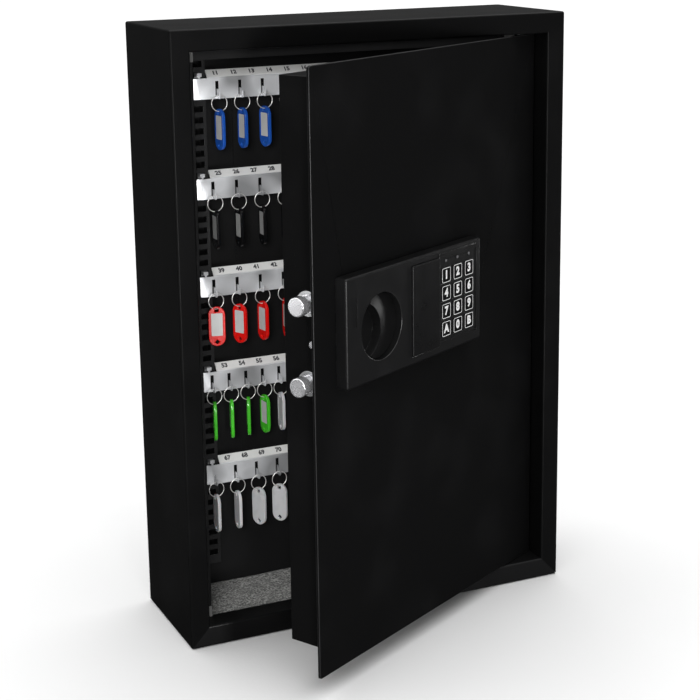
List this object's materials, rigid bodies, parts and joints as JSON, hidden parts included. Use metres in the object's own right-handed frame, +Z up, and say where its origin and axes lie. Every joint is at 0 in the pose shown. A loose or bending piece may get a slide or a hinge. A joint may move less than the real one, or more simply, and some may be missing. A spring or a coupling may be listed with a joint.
{
  "type": "key cabinet",
  "caption": "Wall-mounted black steel key cabinet with an electronic lock: recessed swinging door with knob and keypad, chrome bolts, hook bars with coloured key tags",
  "frame": {"origin": "centre of the outer back face, on the wall", "axes": "+X right, +Z up, -Y out of the front; +Y points into the wall"},
  "size_m": [0.38, 0.2606, 0.55],
  "materials": {
    "cabinet_steel": "satin black powder coat",
    "bracket_steel": "black painted steel",
    "bumper": "light grey soft pad",
    "pin_steel": "plain steel",
    "rail_black": "black powder coat",
    "bar_aluminium": "bright rolled",
    "label_white": "white strip",
    "felt_grey": "grey needle felt",
    "ring_wire": "bright nickel-plated wire",
    "tag_blue": "moulded, glossy",
    "tag_black": "moulded, glossy",
    "tag_red": "moulded, glossy",
    "tag_green": "moulded, glossy",
    "tag_white": "moulded, glossy",
    "panel_plastic": "fine-grained black",
    "key_rubber": "black with white legend",
    "lens": "clear lens",
    "board": "green circuit board",
    "screw_steel": "bright plated",
    "bolt_chrome": "polished chrome",
    "carrier_steel": "zinc-plated",
    "lock_brass": "turned brass",
    "coil_black": "black coil case",
    "battery_wrap": "plain wrapped cell"
  },
  "bodies": {
    "cabinet": {"side_left": "cabinet_steel", "side_right": "cabinet_steel", "side_top": "cabinet_steel", "side_bottom": "cabinet_steel", "back_panel": "cabinet_steel", "stop_flange": "cabinet_steel", "corner_bumpers": "bumper", "hinge_brackets": "bracket_steel", "hinge_pins": "pin_steel", "slotted_rails": "rail_black", "hook_bar_1": "bar_aluminium", "hook_bar_2": "bar_aluminium", "hook_bar_3": "bar_aluminium", "hook_bar_4": "bar_aluminium", "hook_bar_5": "bar_aluminium", "label_strips": "label_white", "felt_mat": "felt_grey"},
    "door": {"door_plate": "cabinet_steel", "door_tray": "cabinet_steel", "hinge_bushes": "pin_steel", "lock_panel": "panel_plastic", "indicator_lenses": "lens", "keypad_board": "board", "screws": "screw_steel", "emergency_lock_body": "lock_brass", "bolt_bushes": "carrier_steel", "solenoid_body": "coil_black", "battery_box": "coil_black", "batteries": "battery_wrap"},
    "knob_assembly": {"knob": "panel_plastic", "knob_shaft": "carrier_steel"},
    "bolt_work": {"bolt_carrier": "carrier_steel", "locking_bolts": "bolt_chrome"},
    "cover": {"lock_cover": "panel_plastic"},
    "emergency_plug": {"emergency_lock_plug": "lock_brass"},
    "plunger": {"solenoid_plunger": "carrier_steel"},
    "lid": {"battery_lid": "coil_black"},
    "key_1_cap": {"key_1": "key_rubber"},
    "key_2_cap": {"key_2": "key_rubber"},
    "key_3_cap": {"key_3": "key_rubber"},
    "key_4_cap": {"key_4": "key_rubber"},
    "key_5_cap": {"key_5": "key_rubber"},
    "key_6_cap": {"key_6": "key_rubber"},
    "key_7_cap": {"key_7": "key_rubber"},
    "key_8_cap": {"key_8": "key_rubber"},
    "key_9_cap": {"key_9": "key_rubber"},
    "key_a_cap": {"key_a": "key_rubber"},
    "key_0_cap": {"key_0": "key_rubber"},
    "key_b_cap": {"key_b": "key_rubber"},
    "tags_1": {"rings_row_1": "ring_wire", "tags_row_1": "tag_blue"},
    "tags_2": {"rings_row_2": "ring_wire", "tags_row_2": "tag_black"},
    "tags_3": {"rings_row_3": "ring_wire", "tags_row_3": "tag_red"},
    "tags_4": {"rings_row_4": "ring_wire", "tags_row_4": "tag_green"},
    "tags_5": {"rings_row_5": "ring_wire", "tags_row_5": "tag_white"}
  },
  "joints": [
    {"name": "door_hinge", "type": "hinge", "parent": "cabinet", "child": "door", "pos_m": [0.161, -0.0945, 0], "axis": [0, 0, 1], "range_deg": [-28.5, 64.5]},
    {"name": "knob_turn", "type": "hinge", "parent": "door", "child": "knob_assembly", "pos_m": [-0.0631, -0.21618, 0.0345], "axis": [0.4772, -0.8788, 0], "range_deg": [-90, 0]},
    {"name": "bolt_slide", "type": "slide", "parent": "door", "child": "bolt_work", "axis": [-0.8788, -0.4772, 0], "range_m": [-0.0169, 0]},
    {"name": "cover_pull", "type": "slide", "parent": "door", "child": "cover", "axis": [0.4772, -0.8788, 0], "range_m": [0, 0.01]},
    {"name": "emergency_turn", "type": "hinge", "parent": "door", "child": "emergency_plug", "pos_m": [-0.00685, -0.18564, 0.037], "axis": [0.4772, -0.8788, 0], "range_deg": [-90, 0]},
    {"name": "plunger_slide", "type": "slide", "parent": "door", "child": "plunger", "axis": [0, 0, -1], "range_m": [0, 0.005], "stiffness_N_per_m": 200},
    {"name": "lid_slide", "type": "slide", "parent": "door", "child": "lid", "axis": [0, 0, -1], "range_m": [0, 0.02]},
    {"name": "key_1_press", "type": "slide", "parent": "door", "child": "key_1_cap", "axis": [-0.4772, 0.8788, 0], "range_m": [0, 0.0008], "stiffness_N_per_m": 900},
    {"name": "key_2_press", "type": "slide", "parent": "door", "child": "key_2_cap", "axis": [-0.4772, 0.8788, 0], "range_m": [0, 0.0008], "stiffness_N_per_m": 900},
    {"name": "key_3_press", "type": "slide", "parent": "door", "child": "key_3_cap", "axis": [-0.4772, 0.8788, 0], "range_m": [0, 0.0008], "stiffness_N_per_m": 900},
    {"name": "key_4_press", "type": "slide", "parent": "door", "child": "key_4_cap", "axis": [-0.4772, 0.8788, 0], "range_m": [0, 0.0008], "stiffness_N_per_m": 900},
    {"name": "key_5_press", "type": "slide", "parent": "door", "child": "key_5_cap", "axis": [-0.4772, 0.8788, 0], "range_m": [0, 0.0008], "stiffness_N_per_m": 900},
    {"name": "key_6_press", "type": "slide", "parent": "door", "child": "key_6_cap", "axis": [-0.4772, 0.8788, 0], "range_m": [0, 0.0008], "stiffness_N_per_m": 900},
    {"name": "key_7_press", "type": "slide", "parent": "door", "child": "key_7_cap", "axis": [-0.4772, 0.8788, 0], "range_m": [0, 0.0008], "stiffness_N_per_m": 900},
    {"name": "key_8_press", "type": "slide", "parent": "door", "child": "key_8_cap", "axis": [-0.4772, 0.8788, 0], "range_m": [0, 0.0008], "stiffness_N_per_m": 900},
    {"name": "key_9_press", "type": "slide", "parent": "door", "child": "key_9_cap", "axis": [-0.4772, 0.8788, 0], "range_m": [0, 0.0008], "stiffness_N_per_m": 900},
    {"name": "key_a_press", "type": "slide", "parent": "door", "child": "key_a_cap", "axis": [-0.4772, 0.8788, 0], "range_m": [0, 0.0008], "stiffness_N_per_m": 900},
    {"name": "key_0_press", "type": "slide", "parent": "door", "child": "key_0_cap", "axis": [-0.4772, 0.8788, 0], "range_m": [0, 0.0008], "stiffness_N_per_m": 900},
    {"name": "key_b_press", "type": "slide", "parent": "door", "child": "key_b_cap", "axis": [-0.4772, 0.8788, 0], "range_m": [0, 0.0008], "stiffness_N_per_m": 900},
    {"name": "tags_1_swing", "type": "hinge", "parent": "cabinet", "child": "tags_1", "pos_m": [0, -0.0245, 0.20745], "axis": [1, 0, 0], "range_deg": [-30, 0]},
    {"name": "tags_2_swing", "type": "hinge", "parent": "cabinet", "child": "tags_2", "pos_m": [0, -0.0245, 0.1161], "axis": [1, 0, 0], "range_deg": [-30, 0]},
    {"name": "tags_3_swing", "type": "hinge", "parent": "cabinet", "child": "tags_3", "pos_m": [0, -0.0245, 0.02475], "axis": [1, 0, 0], "range_deg": [-30, 0]},
    {"name": "tags_4_swing", "type": "hinge", "parent": "cabinet", "child": "tags_4", "pos_m": [0, -0.0245, -0.0666], "axis": [1, 0, 0], "range_deg": [-30, 0]},
    {"name": "tags_5_swing", "type": "hinge", "parent": "cabinet", "child": "tags_5", "pos_m": [0, -0.0245, -0.15795], "axis": [1, 0, 0], "range_deg": [-30, 0]}
  ],
  "couplings": [
    {"joint": "knob_turn", "follows": "bolt_slide", "rad_per_m": 92.5}
  ]
}
